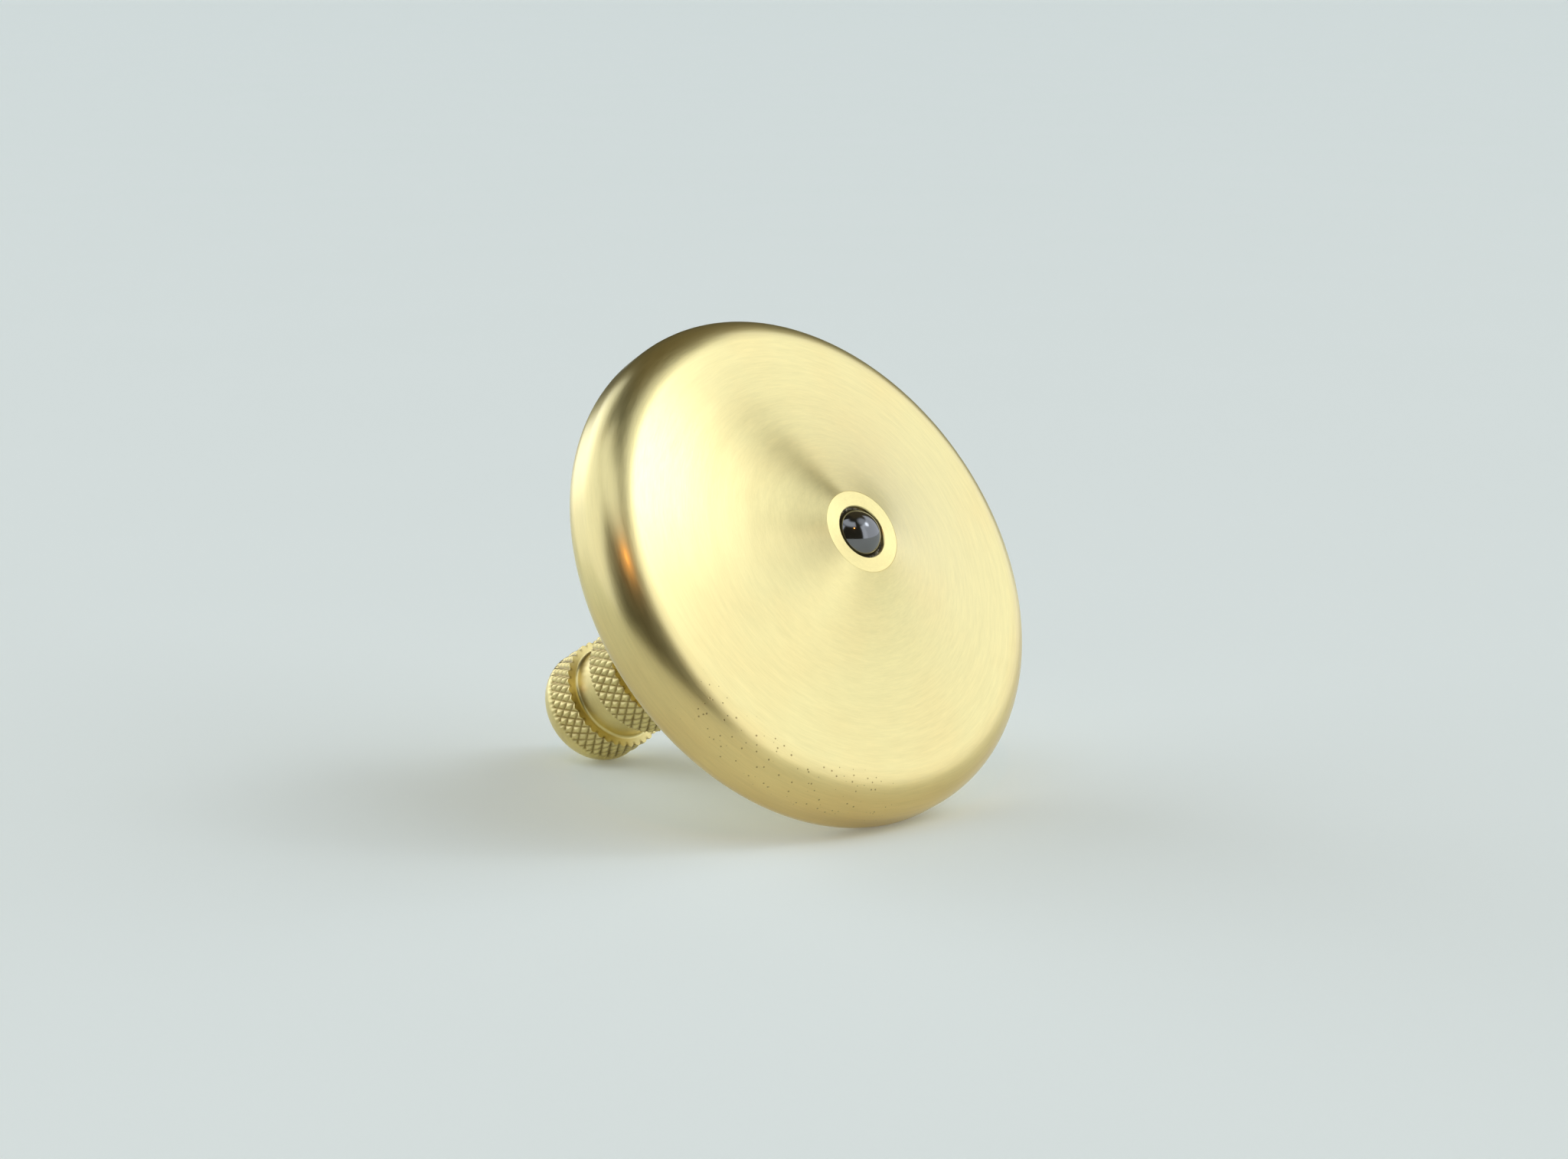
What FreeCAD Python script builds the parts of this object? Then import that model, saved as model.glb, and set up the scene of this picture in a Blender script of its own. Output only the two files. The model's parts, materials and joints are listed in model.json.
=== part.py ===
import FreeCAD, Part
import math
import os

import Sketcher

# A brass finger top, lying at rest as it does on a table: on its rim and on the end of its stem.
#
# Every piece is turned about one spin axis. Each is designed upright in its own frame, with
# the spin axis on Z, the ball's point of contact at the origin and the stem above it. One
# placement then lays all of them down together. In the row's frame the table is Z = 0, the
# spin axis lies in the XZ plane, the ball looks towards +X and up, and the stem runs down
# towards -X. The origin is on the table, below the middle of the whole top.

FULL_TURN = 360
QUARTER_TURN = 90
ON_VERTICAL_AXIS = "V_Axis"
SAME_PLACE = 1e-4

# Lengths in millimetres, angles in degrees. Heights are measured up the spin axis from
# the ball's point of contact.
DRIVING_DIMENSIONS = (
    ("ball_radius", 1.5875, "half of a standard 1/8 inch ceramic ball"),
    ("ring_height", 0.80, "how far the ball stands out of the spindle's end face"),
    ("pocket_radius", 1.615, "bored pocket that takes the ball"),
    ("pocket_chamfer", 0.05, "broken edge at the pocket's mouth"),
    ("drill_point_angle", 118.0, "included angle of the pocket's drilled floor"),
    ("bond_mouth_height", 1.08, "lower face of the adhesive round the ball"),
    ("bond_inner_height", 1.34, "upper face of the adhesive round the ball"),
    ("disc_radius", 15.875, "flywheel turned from 1 1/4 inch bar"),
    ("cove_angle", 23.1, "rise of the hollow underside where it starts, beside the spindle"),
    ("cove_radius", 42.7, "radius of the hollow underside, which is flatter towards the rim"),
    ("rim_lower_round", 2.35, "rounding between the underside and the rim"),
    ("rim_top_height", 8.55, "upper face of the rim"),
    ("rim_upper_round", 1.55, "rounding between the rim and the upper face"),
    ("rim_face_radius", 12.6, "where the flat on top of the rim ends and the dish begins"),
    ("dish_edge_round", 1.2, "rounding between that flat and the dish"),
    ("hub_radius", 4.6, "flat seat for the spindle's collar"),
    ("hub_height", 7.30, "height of that seat"),
    ("shank_radius", 2.575, "spindle's shank, pressed through the flywheel"),
    ("collar_radius", 3.50, "spindle's locating collar"),
    ("collar_thickness", 0.90, "thickness of the collar"),
    ("collar_edge_round", 0.20, "rounding of the collar's upper edge"),
    ("neck_radius", 2.90, "smooth neck, and the floor of the groove in the grip"),
    ("neck_fillet", 0.35, "fillet between the neck and its collar"),
    ("grip_radius", 3.595, "crests of the knurl"),
    ("grip_start_height", 21.26, "lower face of the first knurled band"),
    ("groove_start_height", 23.59, "end of the first knurled band"),
    ("groove_end_height", 25.85, "start of the second knurled band"),
    ("groove_fillet", 0.20, "fillets at the groove's floor and at the neck's end"),
    ("stem_end_height", 29.65, "flat end of the stem"),
    ("nose_round", 1.87, "rounding of the stem's end, from the second band's edge"),
)


def make_sheet(doc):
    """The spreadsheet that holds the driving dimensions, and the same numbers by name."""
    sheet = doc.addObject("Spreadsheet::Sheet", "sizes")
    for row, (alias, value, meaning) in enumerate(DRIVING_DIMENSIONS, start=1):
        sheet.set(f"A{row}", alias)
        sheet.set(f"B{row}", str(value))
        sheet.set(f"C{row}", meaning)
        sheet.setAlias(f"B{row}", alias)
    doc.recompute()
    return {alias: float(sheet.get(alias)) for alias, _, _ in DRIVING_DIMENSIONS}


def origin_plane(body, role):
    """One of the body's own origin planes."""
    return next(f for f in body.Origin.OriginFeatures if f.Role == role)


def bind(sketch, constraint, name, expression):
    """Adds a driving constraint and ties its value to the spreadsheet."""
    index = sketch.addConstraint(constraint)
    sketch.renameConstraint(index, name)
    sketch.setExpression(f"Constraints.{name}", expression)


def section_sketch(body, name, corners, cove=None):
    """A closed half section on the XZ plane: radius along X, height along Z.

    corners is a list of (radius, height, radius expression, height expression). A None
    expression leaves that coordinate to follow from the other constraints. If cove is given,
    it is the centre, in the same form, of an arc that takes the place of the first edge.
    Arcs run counter-clockwise, so this one starts at the second corner.
    """
    sketch = body.newObject("Sketcher::SketchObject", name)
    sketch.AttachmentSupport = [(origin_plane(body, "XZ_Plane"), "")]
    sketch.MapMode = "FlatFace"
    points = [FreeCAD.Vector(radius, height, 0) for radius, height, _, _ in corners]
    count = len(points)
    start = [1] * count
    end = [2] * count
    for i in range(count):
        edge = section_edge(points[i], points[(i + 1) % count], cove if i == 0 else None)
        sketch.addGeometry(edge, False)
    if cove:
        start[0], end[0] = 2, 1
        drive_point(sketch, "cove_centre", 0, 3, cove)
    for i in range(count):
        following = (i + 1) % count
        sketch.addConstraint(
            Sketcher.Constraint("Coincident", i, end[i], following, start[following])
        )
    for i, corner in enumerate(corners):
        drive_point(sketch, f"corner_{i}", i, start[i], corner)
    return sketch


def section_edge(point, next_point, cove):
    """A straight edge, or an arc about the cove's centre from the next point back to point."""
    if cove is None:
        return Part.LineSegment(point, next_point)
    centre = FreeCAD.Vector(cove[0], cove[1], 0)
    angles = [math.atan2(p.y - centre.y, p.x - centre.x) for p in (next_point, point)]
    circle = Part.Circle(centre, FreeCAD.Vector(0, 0, 1), centre.distanceToPoint(point))
    return Part.ArcOfCircle(circle, *angles)


def drive_point(sketch, name, edge, end, place):
    """Ties one end, or the centre, of an edge to the sheet; a radius of 0 puts it on the axis."""
    radius, height, radius_expression, height_expression = place
    if radius == 0:
        sketch.addConstraint(Sketcher.Constraint("PointOnObject", edge, end, -2))
    elif radius_expression:
        constraint = Sketcher.Constraint("DistanceX", -1, 1, edge, end, radius)
        bind(sketch, constraint, f"{name}_radius", radius_expression)
    if height_expression:
        constraint = Sketcher.Constraint("DistanceY", -1, 1, edge, end, height)
        bind(sketch, constraint, f"{name}_height", height_expression)


def turn(body, kind, name, sketch):
    """A full Revolution or Groove of a half section about the spin axis."""
    feature = body.newObject(f"PartDesign::{kind}", name)
    feature.Profile = sketch
    feature.ReferenceAxis = (sketch, [ON_VERTICAL_AXIS])
    feature.Angle = FULL_TURN
    body.Document.recompute()
    return feature


def circular_edges(feature, circles):
    """Names of the feature's edges that are circles of the given radius and height."""
    names = []
    for index, edge in enumerate(feature.Shape.Edges, start=1):
        curve = edge.Curve
        if not isinstance(curve, Part.Circle):
            continue
        for radius, height in circles:
            near_radius = abs(curve.Radius - radius) < SAME_PLACE
            near_height = abs(curve.Center.z - height) < SAME_PLACE
            if near_radius and near_height:
                names.append(f"Edge{index}")
    return names


def round_edges(body, name, base, circles, expression):
    """A Fillet on the circles given as (radius, height), its radius bound to the sheet."""
    fillet = body.newObject("PartDesign::Fillet", name)
    fillet.Base = (base, circular_edges(base, circles))
    fillet.setExpression("Radius", expression)
    body.Document.recompute()
    return fillet


def cove_centre(d):
    """Radius and height of the middle of the underside's arc, out and down from the hollow."""
    angle = math.radians(d["cove_angle"])
    centre_radius = d["shank_radius"] + d["cove_radius"] * math.sin(angle)
    centre_height = d["ring_height"] - d["cove_radius"] * math.cos(angle)
    return centre_radius, centre_height


def make_flywheel(doc, d):
    """The heavy disc: hollow underside, rounded rim, shallow dish and a flat hub on top."""
    body = doc.addObject("PartDesign::Body", "flywheel")
    centre_radius, centre_height = cove_centre(d)
    cove = (
        centre_radius,
        centre_height,
        "sizes.shank_radius + sizes.cove_radius * sin(sizes.cove_angle * 1 deg)",
        "sizes.ring_height - sizes.cove_radius * cos(sizes.cove_angle * 1 deg)",
    )
    inset = centre_radius - d["disc_radius"]
    cove_edge_height = centre_height + math.sqrt(d["cove_radius"] ** 2 - inset**2)
    corners = [
        (d["shank_radius"], d["ring_height"], "sizes.shank_radius", "sizes.ring_height"),
        (d["disc_radius"], cove_edge_height, "sizes.disc_radius", None),
        (d["disc_radius"], d["rim_top_height"], "sizes.disc_radius", "sizes.rim_top_height"),
        (d["rim_face_radius"], d["rim_top_height"], "sizes.rim_face_radius", "sizes.rim_top_height"),
        (d["hub_radius"], d["hub_height"], "sizes.hub_radius", "sizes.hub_height"),
        (d["shank_radius"], d["hub_height"], "sizes.shank_radius", "sizes.hub_height"),
    ]
    section = section_sketch(body, "flywheel_section", corners, cove)
    blank = turn(body, "Revolution", "flywheel_blank", section)
    lower = round_edges(
        body,
        "rim_lower_rounding",
        blank,
        [(d["disc_radius"], cove_edge_height)],
        "sizes.rim_lower_round",
    )
    upper = round_edges(
        body,
        "rim_upper_rounding",
        lower,
        [(d["disc_radius"], d["rim_top_height"])],
        "sizes.rim_upper_round",
    )
    round_edges(
        body,
        "dish_edge_rounding",
        upper,
        [(d["rim_face_radius"], d["rim_top_height"])],
        "sizes.dish_edge_round",
    )
    return body


def make_spindle(doc, d):
    """Knurled grip, neck, collar and the shank whose faced end is the bright ring.

    The knurl is left plain here, at the diameter of its crests.
    """
    body = doc.addObject("PartDesign::Body", "spindle")
    collar_top = d["hub_height"] + d["collar_thickness"]
    collar_top_expression = "sizes.hub_height + sizes.collar_thickness"
    corners = [
        (0, d["ring_height"], None, "sizes.ring_height"),
        (d["shank_radius"], d["ring_height"], "sizes.shank_radius", "sizes.ring_height"),
        (d["shank_radius"], d["hub_height"], "sizes.shank_radius", "sizes.hub_height"),
        (d["collar_radius"], d["hub_height"], "sizes.collar_radius", "sizes.hub_height"),
        (d["collar_radius"], collar_top, "sizes.collar_radius", collar_top_expression),
        (d["neck_radius"], collar_top, "sizes.neck_radius", collar_top_expression),
        (d["neck_radius"], d["grip_start_height"], "sizes.neck_radius", "sizes.grip_start_height"),
        (d["grip_radius"], d["grip_start_height"], "sizes.grip_radius", "sizes.grip_start_height"),
        (d["grip_radius"], d["groove_start_height"], "sizes.grip_radius", "sizes.groove_start_height"),
        (d["neck_radius"], d["groove_start_height"], "sizes.neck_radius", "sizes.groove_start_height"),
        (d["neck_radius"], d["groove_end_height"], "sizes.neck_radius", "sizes.groove_end_height"),
        (d["grip_radius"], d["groove_end_height"], "sizes.grip_radius", "sizes.groove_end_height"),
        (d["grip_radius"], d["stem_end_height"], "sizes.grip_radius", "sizes.stem_end_height"),
        (0, d["stem_end_height"], None, "sizes.stem_end_height"),
    ]
    section = section_sketch(body, "spindle_section", corners)
    blank = turn(body, "Revolution", "spindle_blank", section)
    nose = round_edges(
        body,
        "nose_rounding",
        blank,
        [(d["grip_radius"], d["stem_end_height"])],
        "sizes.nose_round",
    )
    grip = round_edges(
        body,
        "grip_fillets",
        nose,
        [
            (d["neck_radius"], d["grip_start_height"]),
            (d["neck_radius"], d["groove_start_height"]),
            (d["neck_radius"], d["groove_end_height"]),
        ],
        "sizes.groove_fillet",
    )
    neck = round_edges(
        body,
        "neck_fillet",
        grip,
        [(d["neck_radius"], collar_top)],
        "sizes.neck_fillet",
    )
    collar = round_edges(
        body,
        "collar_rounding",
        neck,
        [(d["collar_radius"], collar_top)],
        "sizes.collar_edge_round",
    )
    bore_ball_pocket(body, collar, d)
    return body


def bore_ball_pocket(body, base, d):
    """The pocket in the shank's end: a straight bore with a drilled floor that the ball sits on."""
    half_angle = math.radians(d["drill_point_angle"] / 2)
    floor_apex = d["ball_radius"] + d["ball_radius"] / math.sin(half_angle)
    wall_end = floor_apex - d["pocket_radius"] / math.tan(half_angle)
    apex_expression = (
        "sizes.ball_radius + sizes.ball_radius / sin(sizes.drill_point_angle / 2 * 1 deg)"
    )
    wall_end_expression = (
        f"{apex_expression} - sizes.pocket_radius / tan(sizes.drill_point_angle / 2 * 1 deg)"
    )
    corners = [
        (0, d["ring_height"], None, "sizes.ring_height"),
        (d["pocket_radius"], d["ring_height"], "sizes.pocket_radius", "sizes.ring_height"),
        (d["pocket_radius"], wall_end, "sizes.pocket_radius", wall_end_expression),
        (0, floor_apex, None, apex_expression),
    ]
    section = section_sketch(body, "pocket_section", corners)
    pocket = turn(body, "Groove", "ball_pocket", section)
    removed = base.Shape.Volume - pocket.Shape.Volume
    print(f"ball pocket removes {removed:.2f} mm3")
    chamfer = body.newObject("PartDesign::Chamfer", "pocket_edge")
    mouth = [(d["pocket_radius"], d["ring_height"])]
    chamfer.Base = (pocket, circular_edges(pocket, mouth))
    chamfer.setExpression("Size", "sizes.pocket_chamfer")
    body.Document.recompute()


def make_tip_ball(doc, lying):
    """The ceramic ball that the top spins on, its lowest point on the spindle frame's origin."""
    ball = doc.addObject("Part::Sphere", "tip_ball")
    ball.setExpression("Radius", "sizes.ball_radius")
    doc.recompute()
    centre = FreeCAD.Vector(0, 0, ball.Radius.Value)
    ball.Placement = lying.multiply(FreeCAD.Placement(centre, FreeCAD.Rotation()))
    return ball


def make_ball_bond(doc, d):
    """The ring of cured adhesive between the ball and the pocket's wall."""
    blank = doc.addObject("Part::Cylinder", "bond_blank")
    blank.setExpression("Radius", "sizes.pocket_radius")
    blank.setExpression("Height", "sizes.bond_inner_height - sizes.bond_mouth_height")
    blank.Placement.Base = FreeCAD.Vector(0, 0, d["bond_mouth_height"])
    room = doc.addObject("Part::Sphere", "bond_ball_room")
    room.setExpression("Radius", "sizes.ball_radius")
    room.Placement.Base = FreeCAD.Vector(0, 0, d["ball_radius"])
    bond = doc.addObject("Part::Cut", "ball_bond")
    bond.Base = blank
    bond.Tool = room
    return bond


def lying_placement(d):
    """Lays the upright top down on the rounding above its rim and on the stem's nose.

    Both roundings are tori about the spin axis. Their circles in the section lie on one
    side of the table line, so that line is their common outer tangent, and its slope is
    the lean of the spin axis above the table.
    """
    rim_round = d["rim_upper_round"]
    nose_round = d["nose_round"]
    rim_radius = d["disc_radius"] - rim_round
    rim_height = d["rim_top_height"] - rim_round
    nose_radius = d["grip_radius"] - nose_round
    nose_height = d["stem_end_height"] - nose_round
    across = rim_radius - nose_radius
    along = nose_height - rim_height
    between = math.hypot(across, along)
    lean = math.atan2(across, along) - math.asin((nose_round - rim_round) / between)
    sin_lean = math.sin(lean)
    cos_lean = math.cos(lean)
    lift = rim_radius * cos_lean + rim_height * sin_lean + rim_round
    farthest_plus_x = farthest_towards_tip(d, sin_lean, cos_lean)
    farthest_minus_x = nose_radius * sin_lean + nose_height * cos_lean + nose_round
    shift = (farthest_minus_x - farthest_plus_x) / 2
    turn_over = FreeCAD.Rotation(FreeCAD.Vector(0, 1, 0), -(QUARTER_TURN + math.degrees(lean)))
    print(f"lean of the spin axis {math.degrees(lean):.2f} degrees")
    print(f"height of the ball's contact point {lift:.3f} mm, shift {shift:.3f} mm")
    return FreeCAD.Placement(FreeCAD.Vector(shift, 0, lift), turn_over)


def farthest_towards_tip(d, sin_lean, cos_lean):
    """How far the rim's lower rounding reaches to +X of the ball's contact point.

    The rounding touches the underside's arc from outside, so their centres are as far apart
    as their two radii together.
    """
    rounding = d["rim_lower_round"]
    cove_centre_radius, cove_centre_height = cove_centre(d)
    centre_radius = d["disc_radius"] - rounding
    inset = cove_centre_radius - centre_radius
    centre_height = cove_centre_height + math.sqrt((d["cove_radius"] + rounding) ** 2 - inset**2)
    print(f"height of the rim's lower rounding {centre_height:.3f} mm")
    return centre_radius * sin_lean - centre_height * cos_lean + rounding


def check_document(doc):
    """Stops if any feature failed."""
    for item in doc.Objects:
        if "Invalid" in item.State or "Error" in item.State:
            raise RuntimeError(f"{item.Label} failed: {item.State}")


def write_parts(parts):
    """Writes each piece to parts/, named after its label."""
    os.makedirs("parts", exist_ok=True)
    for part in parts:
        shape = part.Shape
        if shape.isNull() or not shape.isValid():
            raise RuntimeError(f"{part.Label} has no valid shape")
    for part in parts:
        part.Shape.exportStep(f"parts/{part.Label}.step")
        box = part.Shape.optimalBoundingBox()
        print(f"{part.Label}: {part.Shape.Volume:.2f} mm3, solids {len(part.Shape.Solids)}")
        print(f"  X {box.XMin:.3f} {box.XMax:.3f}  Y {box.YMin:.3f} {box.YMax:.3f}", end="")
        print(f"  Z {box.ZMin:.3f} {box.ZMax:.3f}")


def main():
    doc = FreeCAD.newDocument("spinning_top")
    d = make_sheet(doc)
    lying = lying_placement(d)
    flywheel = make_flywheel(doc, d)
    spindle = make_spindle(doc, d)
    bond = make_ball_bond(doc, d)
    ball = make_tip_ball(doc, lying)
    for part in (flywheel, spindle, bond):
        part.Placement = lying
    doc.recompute()
    check_document(doc)
    write_parts([flywheel, spindle, ball, bond])


main()
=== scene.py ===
import json
import math

import bpy
from mathutils import Matrix, Vector


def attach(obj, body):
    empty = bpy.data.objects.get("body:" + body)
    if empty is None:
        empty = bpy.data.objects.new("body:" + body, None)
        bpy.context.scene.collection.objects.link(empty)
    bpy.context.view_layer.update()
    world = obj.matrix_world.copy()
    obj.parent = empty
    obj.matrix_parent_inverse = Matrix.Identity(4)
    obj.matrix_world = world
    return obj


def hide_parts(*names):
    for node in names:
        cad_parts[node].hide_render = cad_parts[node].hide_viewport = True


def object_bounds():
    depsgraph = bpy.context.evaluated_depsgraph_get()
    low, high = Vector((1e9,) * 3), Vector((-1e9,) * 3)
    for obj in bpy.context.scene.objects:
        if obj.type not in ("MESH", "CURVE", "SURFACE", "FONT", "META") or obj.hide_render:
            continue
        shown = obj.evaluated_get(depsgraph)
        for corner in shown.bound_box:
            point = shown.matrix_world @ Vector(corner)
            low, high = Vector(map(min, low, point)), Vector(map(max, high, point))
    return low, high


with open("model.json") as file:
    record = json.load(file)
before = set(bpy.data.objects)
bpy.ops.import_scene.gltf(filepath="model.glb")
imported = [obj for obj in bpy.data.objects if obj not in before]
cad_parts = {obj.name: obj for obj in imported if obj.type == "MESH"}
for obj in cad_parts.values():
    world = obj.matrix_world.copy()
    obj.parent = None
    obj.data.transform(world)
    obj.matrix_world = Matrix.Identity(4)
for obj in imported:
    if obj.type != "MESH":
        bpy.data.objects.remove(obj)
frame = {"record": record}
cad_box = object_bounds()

# A turned brass finger top, lying on its rim and on the end of its knurled stem.
#
# Each piece is a mesh turned about its local Z axis, with the ball's point of contact at the
# local origin and the stem above it. One matrix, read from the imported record, lays them all
# down as the CAD parts lie. Sizes of the pieces are in millimetres, as in the CAD model, and
# become metres when the vertices are made. Everything else is in metres.

MM = 0.001

# ---- sizes of the pieces, in millimetres ----
BALL_RADIUS = 1.5875
RING_HEIGHT = 0.80
POCKET_RADIUS = 1.615
POCKET_CHAMFER = 0.05
DRILL_POINT_ANGLE = math.radians(118.0)
BOND_MOUTH_HEIGHT = 1.08
BOND_INNER_HEIGHT = 1.34
MENISCUS_DEPTH = 0.035
DISC_RADIUS = 15.875
COVE_ANGLE = math.radians(23.1)
COVE_RADIUS = 42.7
RIM_LOWER_ROUND = 2.35
RIM_TOP_HEIGHT = 8.55
RIM_UPPER_ROUND = 1.55
RIM_FACE_RADIUS = 12.6
DISH_EDGE_ROUND = 1.2
HUB_RADIUS = 4.6
HUB_HEIGHT = 7.30
SHANK_RADIUS = 2.575
COLLAR_RADIUS = 3.50
COLLAR_THICKNESS = 0.90
COLLAR_EDGE_ROUND = 0.20
NECK_RADIUS = 2.90
NECK_FILLET = 0.35
GRIP_RADIUS = 3.595
GRIP_START = 21.26
GROOVE_START = 23.59
GROOVE_END = 25.85
GROOVE_FILLET = 0.20
STEM_END = 29.65
NOSE_ROUND = 1.87

# ---- the diamond knurl ----
KNURL_TEETH = 37
KNURL_HELIX = math.radians(30.0)
KNURL_DEPTH = 0.16
KNURL_FADE = 0.22
SAMPLES_PER_TOOTH = 12

# ---- how finely the pieces are cut up ----
FLYWHEEL_COLUMNS = 256
SPINDLE_COLUMNS = KNURL_TEETH * SAMPLES_PER_TOOTH
BALL_COLUMNS = 128
ARC_STEP = math.radians(4.0)
BOND_STEPS = 8
CREASE = math.radians(30.0)
FLYWHEEL_CREASE = math.radians(7.0)

# ---- names of the maps that the materials read from the meshes ----
TURNED_MAP = "turned"
CUT_MAP = "cut"


def resting_matrix():
    """From a piece's local frame to the row's frame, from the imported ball_contact mount."""
    mounts = {mount["name"]: mount for mount in frame["record"]["mounts"]}
    contact = mounts["ball_contact"]
    towards_stem = -Vector(contact["axis"]).normalized()
    across = Vector((0, 1, 0))
    upward = across.cross(towards_stem)
    turn = Matrix((upward, across, towards_stem)).transposed().to_4x4()
    return Matrix.Translation(contact["pos_m"]) @ turn


RESTING = resting_matrix()


# ---- section outlines: lists of (radius, height), in millimetres ----

def arc(centre_radius, centre_height, radius, start, end):
    """Points along an arc. Angles are in degrees, from the outward direction towards +height."""
    start, end = math.radians(start), math.radians(end)
    steps = max(2, math.ceil(abs(end - start) / ARC_STEP))
    points = []
    for i in range(steps + 1):
        angle = start + (end - start) * i / steps
        out = centre_radius + radius * math.cos(angle)
        height = centre_height + radius * math.sin(angle)
        points.append((out, height))
    return points


def straight(start, end, step):
    """Evenly spaced points from start to just before end."""
    length = math.dist(start, end)
    count = max(1, round(length / step))
    return [
        tuple(a + (b - a) * i / count for a, b in zip(start, end))
        for i in range(count)
    ]


def lathe_rows(section, columns, radius_at=None):
    """Rings of vertices for the section's points; a point on the axis is one vertex.

    The vertices are in metres in the row's frame, with the piece lying as the top lies.
    """
    rows = []
    vertices = []
    for index, (radius, height) in enumerate(section):
        if radius == 0:
            rows.append([len(vertices)])
            vertices.append(RESTING @ Vector((0, 0, height * MM)))
            continue
        ring = []
        for column in range(columns):
            angle = 2 * math.pi * column / columns
            out = radius_at(index, radius, height, angle) if radius_at else radius
            ring.append(len(vertices))
            local = Vector((out * math.cos(angle), out * math.sin(angle), height)) * MM
            vertices.append(RESTING @ local)
        rows.append(ring)
    return rows, vertices


def skin(rows, alongs, columns):
    """Faces between neighbouring rings, and each corner's place on the turned surface.

    A place is (turns round the axis, millimetres along the section).
    """
    faces = []
    places = []
    for below in range(len(rows) - 1):
        above = below + 1
        for column in range(columns):
            corners = [(below, column), (below, column + 1), (above, column + 1), (above, column)]
            if len(rows[below]) == 1:
                corners.pop(1)
            if len(rows[above]) == 1:
                corners.pop(2)
            faces.append([rows[row][place % len(rows[row])] for row, place in corners])
            places += [(place / columns, alongs[row]) for row, place in corners]
    return faces, places


def turned_piece(name, section, columns, closed=False, radius_at=None, crease=CREASE):
    """A mesh turned from a section that runs up its outer side.

    Rings where the section turns by more than the crease angle are marked sharp. The "turned"
    UV map holds the place on the turned surface, for the tool marks and the grain's direction.
    """
    rows, vertices = lathe_rows(section, columns, radius_at)
    outline = section + section[:1] if closed else section
    alongs = [0.0]
    for start, end in zip(outline, outline[1:]):
        alongs.append(alongs[-1] + math.dist(start, end))
    faces, places = skin(rows + rows[:1] if closed else rows, alongs, columns)
    mesh = bpy.data.meshes.new(name)
    mesh.from_pydata(vertices, [], faces)
    uv_map = mesh.uv_layers.new(name=TURNED_MAP)
    uv_map.data.foreach_set("uv", [number for place in places for number in place])
    mesh.shade_smooth()
    mark_sharp_rings(mesh, section, rows, closed, crease)
    piece = bpy.data.objects.new(name, mesh)
    bpy.context.scene.collection.objects.link(piece)
    return piece


def mark_sharp_rings(mesh, section, rows, closed, crease):
    """Marks the edges along each ring at a corner of the section."""
    ring_of = {}
    count = len(section)
    for i in range(count):
        if not closed and i in (0, count - 1):
            continue
        before = Vector(section[i]) - Vector(section[i - 1])
        after = Vector(section[(i + 1) % count]) - Vector(section[i])
        if before.angle(after) > crease:
            for vertex in rows[i]:
                ring_of[vertex] = i
    sharp = mesh.attributes.new("sharp_edge", "BOOLEAN", "EDGE")
    for edge in mesh.edges:
        first, second = edge.vertices
        same_ring = ring_of.get(first, -1) == ring_of.get(second, -2)
        sharp.data[edge.index].value = same_ring


def finish_piece(piece, node, material):
    """Gives a piece its material and its body, and hides the CAD part that it stands for."""
    piece.data.materials.append(material)
    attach(piece, "root")
    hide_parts(node)


# ---- the flywheel ----

COVE_ROW_STEP = 0.12
# (wavelength, height) of the slight waves that polishing leaves, in millimetres
COVE_WAVES = ((2.9, 0.0018), (1.27, 0.0006), (0.61, 0.0002))


def cove(centre_radius, centre_height, from_radius, to_radius):
    """Points along the hollow underside, with its slight waves."""
    start = math.acos((from_radius - centre_radius) / COVE_RADIUS)
    end = math.acos((to_radius - centre_radius) / COVE_RADIUS)
    length = COVE_RADIUS * abs(end - start)
    steps = round(length / COVE_ROW_STEP)
    points = []
    for i in range(steps):
        angle = start + (end - start) * i / steps
        run = length * i / steps
        wave = sum(high * math.sin(2 * math.pi * run / across) for across, high in COVE_WAVES)
        reach = COVE_RADIUS - wave
        height = centre_height + reach * math.sin(angle)
        points.append((centre_radius + reach * math.cos(angle), height))
    return points


def flywheel_section():
    """Bore, hollow underside, rounded rim, flat, dish and hub, counter-clockwise."""
    cove_radius_at = SHANK_RADIUS + COVE_RADIUS * math.sin(COVE_ANGLE)
    cove_height_at = RING_HEIGHT - COVE_RADIUS * math.cos(COVE_ANGLE)
    lower_centre = DISC_RADIUS - RIM_LOWER_ROUND
    inset = cove_radius_at - lower_centre
    between_centres = COVE_RADIUS + RIM_LOWER_ROUND
    lower_height = cove_height_at + math.sqrt(between_centres**2 - inset**2)
    tangent = math.degrees(math.asin(inset / between_centres)) - 90
    lower_rim = arc(lower_centre, lower_height, RIM_LOWER_ROUND, tangent, 0)
    upper_rim = arc(
        DISC_RADIUS - RIM_UPPER_ROUND, RIM_TOP_HEIGHT - RIM_UPPER_ROUND, RIM_UPPER_ROUND, 0, 90
    )
    dish_slope = math.atan2(RIM_TOP_HEIGHT - HUB_HEIGHT, RIM_FACE_RADIUS - HUB_RADIUS)
    edge_centre = RIM_FACE_RADIUS + DISH_EDGE_ROUND * math.tan(dish_slope / 2)
    edge = arc(
        edge_centre, RIM_TOP_HEIGHT - DISH_EDGE_ROUND, DISH_EDGE_ROUND, 90,
        90 + math.degrees(dish_slope),
    )
    underside = cove(cove_radius_at, cove_height_at, SHANK_RADIUS, lower_rim[0][0])
    bore_foot = (SHANK_RADIUS, HUB_HEIGHT)
    return underside + lower_rim + upper_rim + edge + [(HUB_RADIUS, HUB_HEIGHT), bore_foot]


def make_flywheel(material):
    piece = turned_piece("flywheel_turned", flywheel_section(), FLYWHEEL_COLUMNS, closed=True,
                         crease=FLYWHEEL_CREASE)
    finish_piece(piece, "flywheel", material)


# ---- the spindle and its knurl ----

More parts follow.
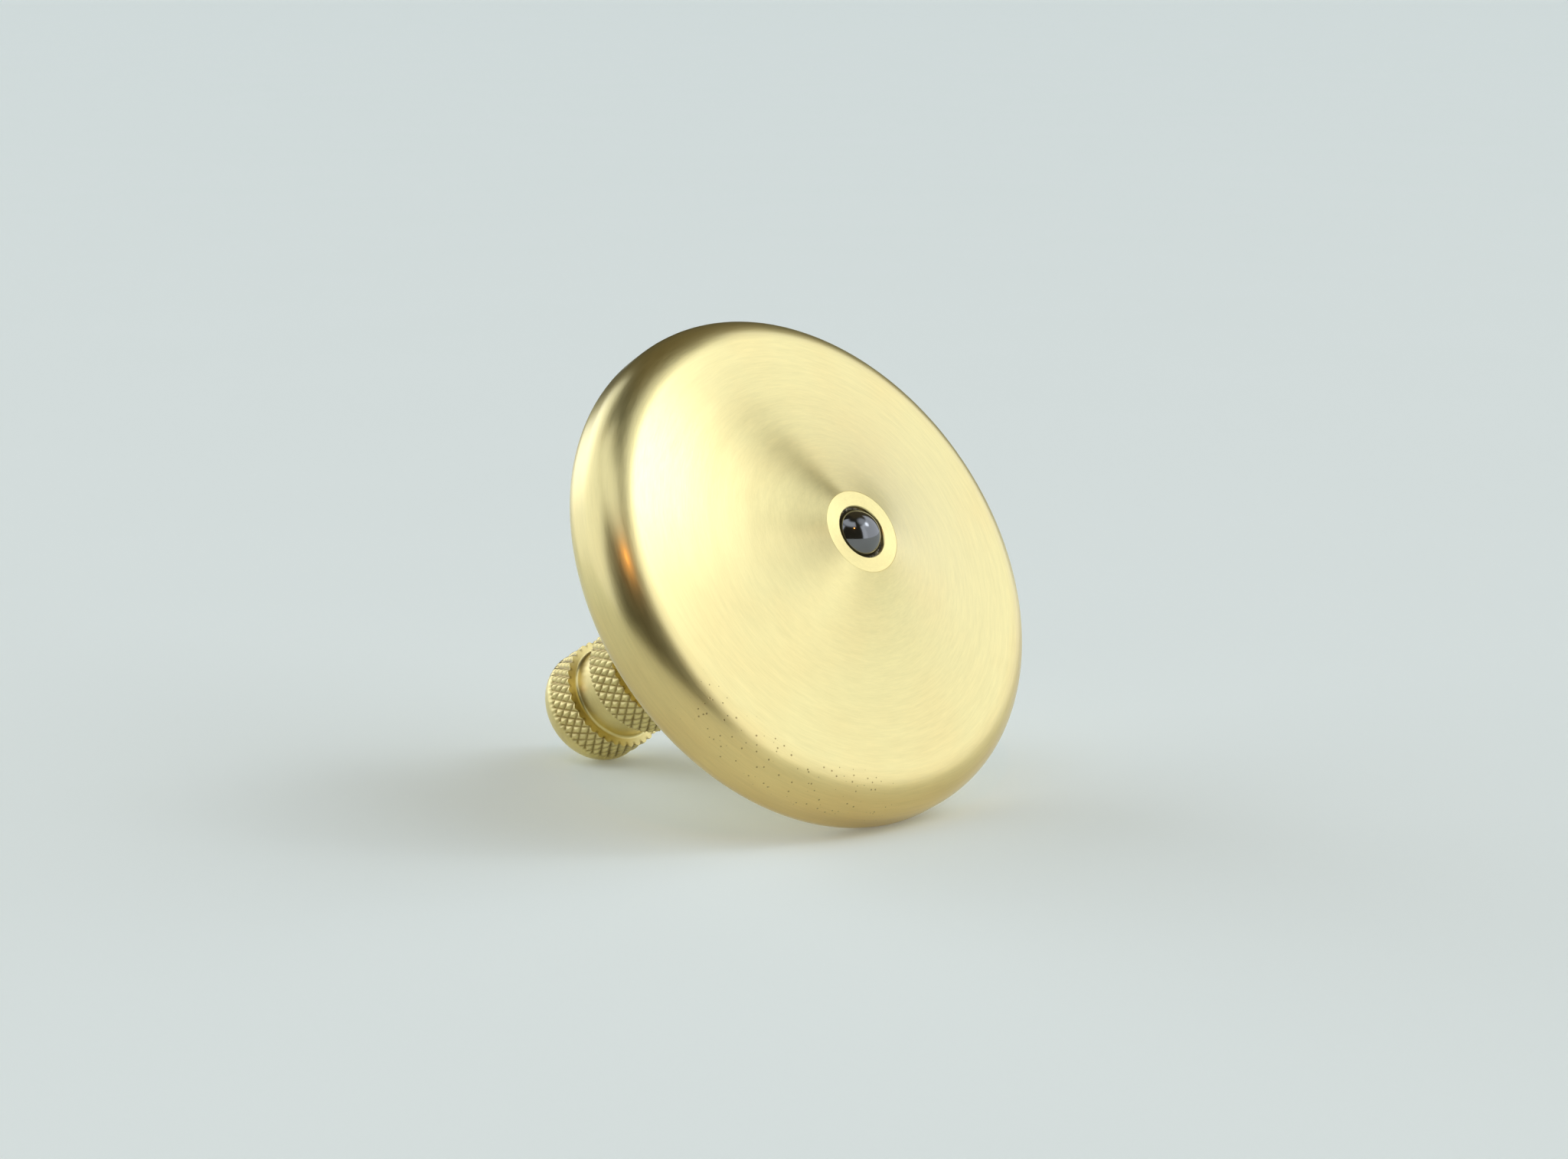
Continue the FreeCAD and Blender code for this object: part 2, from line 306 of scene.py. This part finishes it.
KNURL_PITCH_ROUND = 2 * math.pi * GRIP_RADIUS / KNURL_TEETH
KNURL_PITCH_ALONG = KNURL_PITCH_ROUND / math.tan(KNURL_HELIX)
KNURL_ROW_STEP = KNURL_PITCH_ALONG / SAMPLES_PER_TOOTH
RING_ROW_STEP = 0.08
RING_EDGE_BREAK = 0.02


def groove_depth(phase, deepest):
    """Depth of a sharp groove between rounded crests, where phase counts teeth across it."""
    distance = abs(phase - round(phase))
    return deepest * (1 - math.sin(math.pi * distance))


def knurl_depth(height, angle, deepest):
    """How far the two crossing sets of grooves cut below the crests."""
    around = KNURL_TEETH * angle / (2 * math.pi)
    along = height / KNURL_PITCH_ALONG
    return max(groove_depth(around + along, deepest), groove_depth(around - along, deepest))


def knurled_radius(index, radius, height, angle):
    """The turned radius, cut back by the knurl where a band is."""
    if not spindle_is_knurled[index]:
        return radius
    past_band = max(0.0, height - (STEM_END - NOSE_ROUND))
    deepest = KNURL_DEPTH * (1 - min(1.0, past_band / KNURL_FADE))
    return min(radius, GRIP_RADIUS - knurl_depth(height, angle, deepest))


def spindle_section():
    """The outline from the pocket's floor, over the ring face and up the stem to its end.

    Returns the points, and for each whether the knurl cuts it.
    """
    plain, knurled = False, True
    runs = []
    half_point = DRILL_POINT_ANGLE / 2
    floor_apex = BALL_RADIUS + BALL_RADIUS / math.sin(half_point)
    wall_end = floor_apex - POCKET_RADIUS / math.tan(half_point)
    runs.append((plain, [
        (0, floor_apex),
        (POCKET_RADIUS, wall_end),
        (POCKET_RADIUS, RING_HEIGHT + POCKET_CHAMFER),
        (POCKET_RADIUS + POCKET_CHAMFER, RING_HEIGHT),
    ]))
    ring_start = (POCKET_RADIUS + POCKET_CHAMFER, RING_HEIGHT)
    ring_end = (SHANK_RADIUS - RING_EDGE_BREAK, RING_HEIGHT)
    runs.append((plain, straight(ring_start, ring_end, RING_ROW_STEP)[1:]))
    runs.append((plain, [ring_end, (SHANK_RADIUS, RING_HEIGHT + RING_EDGE_BREAK)]))
    collar_top = HUB_HEIGHT + COLLAR_THICKNESS
    runs.append((plain, [(SHANK_RADIUS, HUB_HEIGHT), (COLLAR_RADIUS, HUB_HEIGHT)]))
    runs.append((plain, arc(
        COLLAR_RADIUS - COLLAR_EDGE_ROUND, collar_top - COLLAR_EDGE_ROUND, COLLAR_EDGE_ROUND, 0, 90
    )))
    runs.append((plain, arc(
        NECK_RADIUS + NECK_FILLET, collar_top + NECK_FILLET, NECK_FILLET, 270, 180
    )))
    runs.append((plain, fillet_before_wall(GRIP_START)))
    runs.append((knurled, band(GRIP_START, GROOVE_START)))
    runs.append((plain, fillet_after_wall(GROOVE_START)))
    runs.append((plain, fillet_before_wall(GROOVE_END)))
    nose_start = STEM_END - NOSE_ROUND
    runs.append((knurled, band(GROOVE_END, nose_start)))
    nose_centre = GRIP_RADIUS - NOSE_ROUND
    nose = arc(nose_centre, nose_start, NOSE_ROUND, 0, 90)
    runs.append((knurled, nose[1:-1]))
    runs.append((plain, [nose[-1], (0, STEM_END)]))
    section = [point for _, points in runs for point in points]
    flags = [flag for flag, points in runs for _ in points]
    return section, flags


def fillet_before_wall(height):
    """The small fillet where the neck or groove floor meets a wall at the given height."""
    return arc(NECK_RADIUS + GROOVE_FILLET, height - GROOVE_FILLET, GROOVE_FILLET, 180, 90)


def fillet_after_wall(height):
    """The small fillet where a wall at the given height meets the groove floor."""
    return arc(NECK_RADIUS + GROOVE_FILLET, height + GROOVE_FILLET, GROOVE_FILLET, 270, 180)


def band(start, end):
    """A knurled band's rows, spaced so that the grooves run along the mesh's diagonals."""
    rows = [(GRIP_RADIUS, start)]
    row = math.floor(start / KNURL_ROW_STEP) + 1
    while row * KNURL_ROW_STEP < end - KNURL_ROW_STEP / 4:
        rows.append((GRIP_RADIUS, row * KNURL_ROW_STEP))
        row += 1
    rows.append((GRIP_RADIUS, end))
    return rows


spindle_outline, spindle_is_knurled = spindle_section()


def knurl_cuts():
    """At each vertex of the spindle, how deep the knurl cuts: 0 at a crest, 1 in a valley."""
    cuts = []
    for index, (radius, height) in enumerate(spindle_outline):
        columns = SPINDLE_COLUMNS if radius else 1
        for column in range(columns):
            angle = 2 * math.pi * column / columns
            cuts.append((radius - knurled_radius(index, radius, height, angle)) / KNURL_DEPTH)
    return cuts


def make_spindle(material):
    piece = turned_piece("spindle_knurled", spindle_outline, SPINDLE_COLUMNS,
                         radius_at=knurled_radius)
    cut = piece.data.attributes.new(CUT_MAP, "FLOAT", "POINT")
    cut.data.foreach_set("value", knurl_cuts())
    finish_piece(piece, "spindle", material)


# ---- the ball and the adhesive round it ----

def make_tip_ball(material):
    half = arc(0, BALL_RADIUS, BALL_RADIUS, -90, 90)
    section = [(0, 0)] + half[1:-1] + [(0, 2 * BALL_RADIUS)]
    piece = turned_piece("tip_ball_polished", section, BALL_COLUMNS)
    finish_piece(piece, "tip_ball", material)


def ball_radius_at(height):
    """The ball's radius in the plane at a height."""
    return math.sqrt(BALL_RADIUS**2 - (BALL_RADIUS - height)**2)


def make_ball_bond(material):
    """A ring between the ball and the pocket's wall, its mouth a hollow meniscus."""
    inner = []
    for i in range(BOND_STEPS + 1):
        height = BOND_INNER_HEIGHT + (BOND_MOUTH_HEIGHT - BOND_INNER_HEIGHT) * i / BOND_STEPS
        inner.append((ball_radius_at(height), height))
    mouth_inner = ball_radius_at(BOND_MOUTH_HEIGHT)
    mouth = []
    for i in range(1, BOND_STEPS):
        share = i / BOND_STEPS
        radius = mouth_inner + (POCKET_RADIUS - mouth_inner) * share
        mouth.append((radius, BOND_MOUTH_HEIGHT + MENISCUS_DEPTH * math.sin(math.pi * share)))
    wall = [(POCKET_RADIUS, BOND_MOUTH_HEIGHT), (POCKET_RADIUS, BOND_INNER_HEIGHT)]
    section = inner + mouth + wall
    piece = turned_piece("ball_bond_bead", section, BALL_COLUMNS * 2, closed=True)
    finish_piece(piece, "ball_bond", material)


# ---- materials ----

class Nodes:
    """A node tree, with short calls to add and join its nodes."""

    def __init__(self, tree):
        self.tree = tree

    def add(self, kind, inputs=None, **settings):
        """A node of the given kind; inputs are constants or other nodes' sockets."""
        node = self.tree.nodes.new(kind)
        for key, value in settings.items():
            setattr(node, key, value)
        for key, value in (inputs or {}).items():
            self.feed(node.inputs[key], value)
        return node

    def feed(self, socket, value):
        """Gives a socket a constant, or joins another node's socket to it."""
        if isinstance(value, bpy.types.NodeSocket):
            self.tree.links.new(value, socket)
        else:
            socket.default_value = value

    def maths(self, operation, first, second=0.0):
        return self.add("ShaderNodeMath", {0: first, 1: second}, operation=operation).outputs[0]

    def between(self, value, low, high, to_low, to_high, smooth=False):
        """The value, mapped from one range to another and kept inside it."""
        kind = "SMOOTHSTEP" if smooth else "LINEAR"
        node = self.add(
            "ShaderNodeMapRange",
            {"Value": value, 1: low, 2: high, 3: to_low, 4: to_high},
            interpolation_type=kind,
        )
        return node.outputs[0]


class Material(Nodes):
    """A material's node tree, round its Principled shader."""

    def __init__(self, name):
        self.material = bpy.data.materials.new(name)
        self.material.use_nodes = True
        super().__init__(self.material.node_tree)
        self.shader = self.tree.nodes["Principled BSDF"]

    def mix_colours(self, factor, first, second, blend="MIX"):
        node = self.add("ShaderNodeMix", data_type="RGBA", blend_type=blend)
        self.feed(node.inputs["Factor"], factor)
        self.feed(node.inputs["A"], first)
        self.feed(node.inputs["B"], second)
        return node.outputs["Result"]

    def noise(self, vector, scale, detail, roughness=0.5):
        node = self.add(
            "ShaderNodeTexNoise",
            {"Vector": vector, "Scale": scale, "Detail": detail, "Roughness": roughness},
        )
        return node.outputs["Fac"]

    def place(self):
        """The point on the piece, in its own frame, in metres."""
        return self.add("ShaderNodeTexCoord").outputs["Object"]

    def turned_place(self):
        """(millimetres along the section, cosine, sine) of the place on a turned piece."""
        uv = self.add("ShaderNodeUVMap", uv_map=TURNED_MAP).outputs[0]
        parts = self.add("ShaderNodeSeparateXYZ", {0: uv}).outputs
        angle = self.maths("MULTIPLY", parts[0], 2 * math.pi)
        return parts[1], self.maths("COSINE", angle), self.maths("SINE", angle)

    def streaks(self, turned, across, arc_degrees):
        """Noise drawn out into arcs round the axis, each about `across` millimetres wide."""
        along, cosine, sine = turned
        stretch = math.degrees(1) / arc_degrees
        inputs = {
            0: self.maths("DIVIDE", along, across),
            1: self.maths("MULTIPLY", cosine, stretch),
            2: self.maths("MULTIPLY", sine, stretch),
        }
        place = self.add("ShaderNodeCombineXYZ", inputs).outputs[0]
        return self.noise(place, scale=1.0, detail=3.0, roughness=0.6)

    def patch(self, angle, half, start, end, blur):
        """A soft patch: its middle and half width in degrees, its ends and blur in millimetres."""
        along, cosine, sine = self.turned_place()
        middle = math.radians(angle)
        toward = self.maths("ADD", self.maths("MULTIPLY", cosine, math.cos(middle)),
                            self.maths("MULTIPLY", sine, math.sin(middle)))
        edge = math.cos(math.radians(half))
        full = (1 + edge) / 2
        sideways = self.between(toward, edge, full, 0.0, 1.0)
        inwards = self.between(along, start, start + blur, 0.0, 1.0)
        outwards = self.between(along, end - blur, end, 1.0, 0.0)
        return self.maths("MULTIPLY", sideways, self.maths("MULTIPLY", inwards, outwards))

    def pits(self, patch):
        """Small pits, larger and more of them inside a patch."""
        inputs = {"Vector": self.place(), "Scale": 1 / PIT_SPACING}
        from_middle = self.add("ShaderNodeTexVoronoi", inputs).outputs["Distance"]
        size = self.between(patch, 0.0, 1.0, PIT_STRAY_SIZE, PIT_SIZE)
        inside = self.maths("SUBTRACT", size, from_middle)
        return self.between(inside, *PIT_EDGE, 0.0, PIT_DARKNESS, smooth=True)

    def round_tangent(self):
        """The direction round the axis, along the tool marks."""
        tangent = self.add("ShaderNodeTangent", direction_type="UV_MAP", uv_map=TURNED_MAP)
        return tangent.outputs[0]

    def bump(self, height, distance, strength=1.0, normal=None):
        inputs = {"Height": height, "Distance": distance, "Strength": strength}
        if normal is not None:
            inputs["Normal"] = normal
        return self.add("ShaderNodeBump", inputs).outputs[0]

    def grey(self, value):
        """A grey colour of the given value."""
        return self.add("ShaderNodeCombineColor", {0: value, 1: value, 2: value}).outputs[0]

    def set(self, **values):
        """Sets the shader's sockets, named with underscores for spaces."""
        for key, value in values.items():
            self.feed(self.shader.inputs[key.replace("_", " ")], value)


# Most of a noise's values lie between these.
NOISE_RANGE = (0.3, 0.7)

BRASS = (0.825, 0.70, 0.315, 1)
BRASS_WARM = (0.84, 0.665, 0.285, 1)
WARM_PATCHES_PER_METRE = 160.0
# The noise where a warm patch starts and where it is full, and how warm it gets there.
WARM_PATCH_FROM = 0.42
WARM_PATCH_FULL = 0.72
WARM_PATCH_MOST = 0.6

# Tool marks: widths in millimetres, and lengths in degrees round the axis.
SCRATCH_WIDTH = 0.08
SCRATCH_ARC = 5.0
BAND_WIDTH = 0.25
BAND_ARC = 13.0
MARKS_RANGE = (0.7, 1.3)
MARKS_DARKEST = 0.92
MARKS_LIGHTEST = 1.01
ROUGHNESS_SPREAD = 0.03
# In turns: the gloss runs across the tool marks, a quarter turn from the tangent.
ACROSS_MARKS = 0.25


def turned_brass(nodes, roughness, mark_depth):
    """Satin brass's colour, roughness and normal: arc-shaped tool marks and warm patches."""
    turned = nodes.turned_place()
    scratches = nodes.streaks(turned, SCRATCH_WIDTH, SCRATCH_ARC)
    bands = nodes.streaks(turned, BAND_WIDTH, BAND_ARC)
    cloud = nodes.noise(nodes.place(), WARM_PATCHES_PER_METRE, detail=3.0, roughness=0.55)
    warmth = nodes.between(cloud, WARM_PATCH_FROM, WARM_PATCH_FULL, 0.0, WARM_PATCH_MOST)
    tint = nodes.mix_colours(warmth, BRASS, BRASS_WARM)
    marks = nodes.maths("ADD", scratches, bands)
    shade = nodes.between(marks, *MARKS_RANGE, MARKS_DARKEST, MARKS_LIGHTEST)
    colour = nodes.mix_colours(1.0, tint, nodes.grey(shade), "MULTIPLY")
    smoothest = roughness - ROUGHNESS_SPREAD
    roughest = roughness + ROUGHNESS_SPREAD
    spread = nodes.between(scratches, *NOISE_RANGE, smoothest, roughest)
    return colour, spread, nodes.bump(scratches, mark_depth)


# Patches of the disc: middle angle and half width in degrees, start, end and blur in millimetres.
PIT_PATCH = (215.0, 34.0, 11.2, 15.4, 0.8)
# Painted shade and a warm painted reflection: the lower rim, where it faces the shaded floor, made
# darker and warmer.
LOW_RIM_SHADE_PATCH = (183.0, 90.0, 11.4, 22.0, 2.0)
LOW_RIM_SHADE = (0.97, 0.87, 0.77, 1)

# Pits: spacing and depth in metres; sizes and soft edges as shares of the spacing.
PIT_SPACING = 0.38 * MM
PIT_SIZE = 0.15
PIT_STRAY_SIZE = 0.02
PIT_EDGE = (-0.03, 0.05)
PIT_DARKNESS = 0.85
PIT_BROWN = (0.30, 0.20, 0.07, 1)
PIT_DEPTH = 2.0e-5
PIT_BUMP = 0.6

DISC_ROUGHNESS = 0.31
DISC_MARK_DEPTH = 2.6e-6
DISC_ANISOTROPY = 0.62
LACQUER = 0.4
LACQUER_ROUGHNESS = 0.13


def flywheel_brass():
    """Turned, thinly lacquered brass with a patch of small pits, and painted shade low on its rim.
    """
    nodes = Material("turned_brass")
    colour, roughness, normal = turned_brass(nodes, DISC_ROUGHNESS, DISC_MARK_DEPTH)
    # Painted shade: darker and warmer low on the rim, where it faces the shaded floor.
    low_rim_shaded = nodes.mix_colours(nodes.patch(*LOW_RIM_SHADE_PATCH), colour, LOW_RIM_SHADE, "MULTIPLY")
    pits = nodes.pits(nodes.patch(*PIT_PATCH))
    pitted = nodes.mix_colours(pits, low_rim_shaded, PIT_BROWN)
    dented = nodes.bump(nodes.maths("SUBTRACT", 1.0, pits), PIT_DEPTH, PIT_BUMP, normal)
    nodes.set(
        Base_Color=pitted, Metallic=1.0, Roughness=roughness, Normal=dented,
        Anisotropic=DISC_ANISOTROPY, Anisotropic_Rotation=ACROSS_MARKS,
        Tangent=nodes.round_tangent(),
        Coat_Weight=LACQUER, Coat_Roughness=LACQUER_ROUGHNESS,
    )
    return nodes.material


SPINDLE_ROUGHNESS = 0.32
SPINDLE_MARK_DEPTH = 1.5e-6
SPINDLE_ANISOTROPY = 0.45
# Painted shade and grime: the colour at the bottom of the knurl's grooves.
GROOVE_SHADE_AND_GRIME = (0.36, 0.26, 0.09, 1)
GROOVE_SHADE_SPOTS_PER_METRE = 1500.0
GROOVE_SHADE_UNEVENNESS = 0.15
# The depth of the knurl's cut where the painted shade and grime start and where they are full.
GROOVE_SHADE_FROM = 0.35
GROOVE_SHADE_FULL = 0.95


def spindle_brass():
    """Turned brass, with painted shade and grime, brown, at the bottom of the knurl's grooves."""
    nodes = Material("spindle_brass")
    colour, roughness, normal = turned_brass(nodes, SPINDLE_ROUGHNESS, SPINDLE_MARK_DEPTH)
    cut = nodes.add("ShaderNodeAttribute", attribute_name=CUT_MAP).outputs["Fac"]
    # Painted shade and grime, deepest in the knurl's grooves, with uneven edges.
    groove_noise = nodes.noise(nodes.place(), GROOVE_SHADE_SPOTS_PER_METRE, detail=3.0, roughness=0.6)
    uneven = nodes.between(groove_noise, *NOISE_RANGE, -GROOVE_SHADE_UNEVENNESS, GROOVE_SHADE_UNEVENNESS)
    depth = nodes.maths("ADD", cut, uneven)
    groove_shade = nodes.between(depth, GROOVE_SHADE_FROM, GROOVE_SHADE_FULL, 0.0, 1.0)
    groove_shaded = nodes.mix_colours(groove_shade, colour, GROOVE_SHADE_AND_GRIME)
    nodes.set(
        Base_Color=groove_shaded, Metallic=1.0, Roughness=roughness, Normal=normal,
        Anisotropic=SPINDLE_ANISOTROPY, Anisotropic_Rotation=ACROSS_MARKS,
        Tangent=nodes.round_tangent(),
    )
    return nodes.material


CERAMIC_DARKER = (0.009, 0.007, 0.005, 1)
CERAMIC_LIGHTER = (0.019, 0.015, 0.011, 1)
CERAMIC_GRAINS_PER_METRE = 9000.0
CERAMIC_SMOOTHEST = 0.09
CERAMIC_ROUGHEST = 0.13
CERAMIC_IOR = 2.5


def black_ceramic():
    """Polished ceramic: near black and glassy, with the faintest grain."""
    nodes = Material("black_ceramic")
    grain = nodes.noise(nodes.place(), CERAMIC_GRAINS_PER_METRE, detail=2.0)
    colour = nodes.mix_colours(grain, CERAMIC_DARKER, CERAMIC_LIGHTER)
    gloss = nodes.between(grain, *NOISE_RANGE, CERAMIC_SMOOTHEST, CERAMIC_ROUGHEST)
    nodes.set(Base_Color=colour, Roughness=gloss, IOR=CERAMIC_IOR)
    return nodes.material


ADHESIVE_CLEAR = (0.05, 0.038, 0.012, 1)
ADHESIVE_CLOUDY = (0.62, 0.56, 0.40, 1)
ADHESIVE_ROUGHNESS = 0.22
ADHESIVE_IOR = 1.5
SPECKS_PER_METRE = 5200.0
SPECK_DEPTH = 3.0e-5
# The noise where a speck starts and where it is full.
SPECK_FROM = 0.45
SPECK_FULL = 0.62


def cured_adhesive():
    """Clear adhesive, cloudy with specks, over the brass of the pocket."""
    nodes = Material("cured_adhesive")
    specks = nodes.noise(nodes.place(), SPECKS_PER_METRE, detail=2.0, roughness=0.6)
    amount = nodes.between(specks, SPECK_FROM, SPECK_FULL, 0.0, 1.0, smooth=True)
    colour = nodes.mix_colours(amount, ADHESIVE_CLEAR, ADHESIVE_CLOUDY)
    normal = nodes.bump(specks, SPECK_DEPTH)
    nodes.set(Base_Color=colour, Roughness=ADHESIVE_ROUGHNESS, IOR=ADHESIVE_IOR, Normal=normal)
    return nodes.material


PAPER_DARKER = (0.85, 0.905, 0.84, 1)
PAPER_LIGHTER = (0.87, 0.925, 0.86, 1)
PAPER_MOTTLES_PER_METRE = 35.0
PAPER_ROUGHNESS = 0.85
PAPER_SHINE = 0.2
PAPER_GLOW = (0.97, 1.0, 0.96, 1)
PAPER_GLOW_STRENGTH = 0.10


def paper():
    """Pale matt paper with a faint mottle, a little light coming through it from below."""
    nodes = Material("paper")
    mottle = nodes.noise(nodes.place(), PAPER_MOTTLES_PER_METRE, detail=3.0)
    colour = nodes.mix_colours(mottle, PAPER_DARKER, PAPER_LIGHTER)
    nodes.set(
        Base_Color=colour, Roughness=PAPER_ROUGHNESS, Specular_IOR_Level=PAPER_SHINE,
        Emission_Color=PAPER_GLOW, Emission_Strength=PAPER_GLOW_STRENGTH,
    )
    return nodes.material


# ---- floor, light and camera ----

def direction(azimuth, elevation):
    """A unit vector from the object; azimuth 0 is towards -Y, and 90 towards +X."""
    azimuth, elevation = math.radians(azimuth), math.radians(elevation)
    return Vector((
        math.sin(azimuth) * math.cos(elevation),
        -math.cos(azimuth) * math.cos(elevation),
        math.sin(elevation),
    ))


OBJECT_CENTRE = (Vector(cad_box[0]) + Vector(cad_box[1])) / 2
FLOOR_REACH = 12.0
FLOOR_GAP = 2e-5


def make_floor():
    """A wide sheet of paper just below the object."""
    mesh = bpy.data.meshes.new("paper_floor")
    reach = FLOOR_REACH
    corners = [(-reach, -reach, 0), (reach, -reach, 0), (reach, reach, 0), (-reach, reach, 0)]
    mesh.from_pydata(corners, [], [(0, 1, 2, 3)])
    mesh.materials.append(paper())
    floor = bpy.data.objects.new("paper_floor", mesh)
    floor.location.z = cad_box[0][2] - FLOOR_GAP
    bpy.context.scene.collection.objects.link(floor)


class Room(Nodes):
    """The world's nodes: the light that comes from each direction round the object."""

    def __init__(self, name, dark):
        world = bpy.data.worlds.new(name)
        world.use_nodes = True
        bpy.context.scene.world = world
        super().__init__(world.node_tree)
        self.towards = self.add("ShaderNodeTexCoord").outputs["Generated"]
        parts = self.add("ShaderNodeSeparateXYZ", {0: self.towards}).outputs
        backwards = self.maths("MULTIPLY", parts[1], -1.0)
        self.azimuth = self.maths("DEGREES", self.maths("ARCTAN2", parts[0], backwards))
        self.elevation = self.maths("DEGREES", self.maths("ARCSINE", parts[2]))
        self.light = dark

    def edge(self, value, place, blur, rising=True):
        """A soft step at a place."""
        low, high = (0.0, 1.0) if rising else (1.0, 0.0)
        return self.between(value, place - blur / 2, place + blur / 2, low, high, smooth=True)

    def window(self, colour, left, right, low, high, blur, radiance):
        """Adds a window with soft edges between two azimuths and two elevations."""
        offset = self.maths("SUBTRACT", self.azimuth, (left + right) / 2)
        half_turns = {0: offset, 1: 180.0, 2: -180.0}
        turn = self.add("ShaderNodeMath", half_turns, operation="WRAP").outputs[0]
        across = self.edge(self.maths("ABSOLUTE", turn), (right - left) / 2, blur, rising=False)
        above = self.edge(self.elevation, low, blur)
        below = self.edge(self.elevation, high, blur, rising=False)
        inside = self.maths("MULTIPLY", across, self.maths("MULTIPLY", above, below))
        self.brighten(inside, colour, radiance)

    def spot(self, colour, azimuth, elevation, radius, radiance):
        """Adds a round soft light, brightest in its middle."""
        middle = tuple(direction(azimuth, elevation))
        inputs = {0: self.towards, 1: middle}
        near = self.add("ShaderNodeVectorMath", inputs, operation="DOT_PRODUCT").outputs["Value"]
        edge = math.cos(math.radians(radius))
        inside = self.between(near, edge, 1.0, 0.0, 1.0, smooth=True)
        self.brighten(inside, colour, radiance)

    def brighten(self, share, colour, radiance):
        """Adds a share of a colour times a radiance to the light."""
        full = tuple(part * radiance for part in colour)
        inputs = {0: share, 1: full, 2: self.light}
        total = self.add("ShaderNodeVectorMath", inputs, operation="MULTIPLY_ADD")
        self.light = total.outputs[0]


TENT_LIGHT = (0.93, 1.0, 1.12)
WARM_LIGHT = (1.0, 0.42, 0.08)
WARM_WALL = (1.0, 0.72, 0.25)
DARK_ROOM = (0.04, 0.04, 0.026)
BACKDROP_SEEN = (0.66, 0.73, 0.725, 1)

# Windows: left, right, low and high edges and their softness, in degrees, then radiance.
RIGHT_TENT = (86, 191, -20, 51, 8, 1.18)
RIGHT_TENT_SIDE = (88, 107, -20, 45, 6, 0.30)
LEFT_TENT = (256, 351, -20, 49, 6, 1.15)
CEILING = (-60, 60, 52, 74, 10, 1.15)
DIM_WALL = (175, 250, 20, 90, 25, 0.08)
# Spots: azimuth, elevation and radius in degrees, then radiance.
KEY_LIGHT = (134, 44, 10, 3.0)
KEY_GLOW = (129, 59, 24, 0.95)
LEFT_TENT_LAMP = (277, 22, 19, 1.0)


def make_world():
    """A dark room with light tents, a pale ceiling, a dim warm wall and brighter spots.

    The camera itself sees only a pale grey backdrop.
    """
    room = Room("studio", DARK_ROOM)
    for sides in (RIGHT_TENT, RIGHT_TENT_SIDE, LEFT_TENT, CEILING):
        room.window(TENT_LIGHT, *sides)
    room.window(WARM_WALL, *DIM_WALL)
    for place in (KEY_LIGHT, KEY_GLOW, LEFT_TENT_LAMP):
        room.spot(TENT_LIGHT, *place)
    lit = room.tree.nodes["Background"]
    room.feed(lit.inputs["Color"], room.light)
    backdrop = room.add("ShaderNodeBackground", {"Color": BACKDROP_SEEN})
    sees = room.add("ShaderNodeLightPath").outputs["Is Camera Ray"]
    mix = room.add("ShaderNodeMixShader", {0: sees, 1: lit.outputs[0], 2: backdrop.outputs[0]})
    room.feed(room.tree.nodes["World Output"].inputs["Surface"], mix.outputs[0])


LAMP_AZIMUTH = 49
LAMP_ELEVATION = 46
LAMP_DISTANCE = 1.5
LAMP_SIZE = 0.03
LAMP_RADIANCE = 330.0


def make_warm_lamp():
    """A small round orange lamp that faces the object."""
    light = bpy.data.lights.new("warm_lamp", "AREA")
    light.shape = "DISK"
    light.size = LAMP_SIZE
    light.energy = LAMP_RADIANCE * (math.pi * LAMP_SIZE / 2) ** 2
    light.color = WARM_LIGHT
    lamp = bpy.data.objects.new("warm_lamp", light)
    towards = direction(LAMP_AZIMUTH, LAMP_ELEVATION)
    lamp.location = OBJECT_CENTRE + towards * LAMP_DISTANCE
    lamp.rotation_euler = towards.to_track_quat("Z", "Y").to_euler()
    bpy.context.scene.collection.objects.link(lamp)


CAMERA_AZIMUTH = 45.84
CAMERA_ELEVATION = 9.84
CAMERA_DISTANCE = 0.22529
LENS_MM = 87.89
SENSOR_MM = 36
NEAREST_SEEN = 0.005
FARTHEST_SEEN = 100
# The target: a height on the piece's axis, then steps to the right and up, in millimetres.
DISC_CENTRE_HEIGHT = 6.209
TARGET_RIGHT = -1.265
TARGET_UP = -0.651


def make_camera():
    """The camera looks a little left of and below the middle of the disc's rim."""
    back = direction(CAMERA_AZIMUTH, CAMERA_ELEVATION)
    right = Vector((0, 0, 1)).cross(back).normalized()
    up = back.cross(right)
    disc_centre = RESTING @ Vector((0, 0, DISC_CENTRE_HEIGHT * MM))
    target = disc_centre + (right * TARGET_RIGHT + up * TARGET_UP) * MM
    data = bpy.data.cameras.new("camera")
    data.lens = LENS_MM
    data.sensor_width = SENSOR_MM
    data.sensor_fit = "HORIZONTAL"
    data.clip_start = NEAREST_SEEN
    data.clip_end = FARTHEST_SEEN
    camera = bpy.data.objects.new("camera", data)
    turn = Matrix((right, up, back)).transposed().to_4x4()
    camera.matrix_world = Matrix.Translation(target + back * CAMERA_DISTANCE) @ turn
    bpy.context.scene.collection.objects.link(camera)
    bpy.context.scene.camera = camera


def main():
    bpy.context.scene.view_settings.view_transform = "Standard"
    make_camera()
    make_flywheel(flywheel_brass())
    make_spindle(spindle_brass())
    make_tip_ball(black_ceramic())
    make_ball_bond(cured_adhesive())
    make_floor()
    make_warm_lamp()
    make_world()


main()
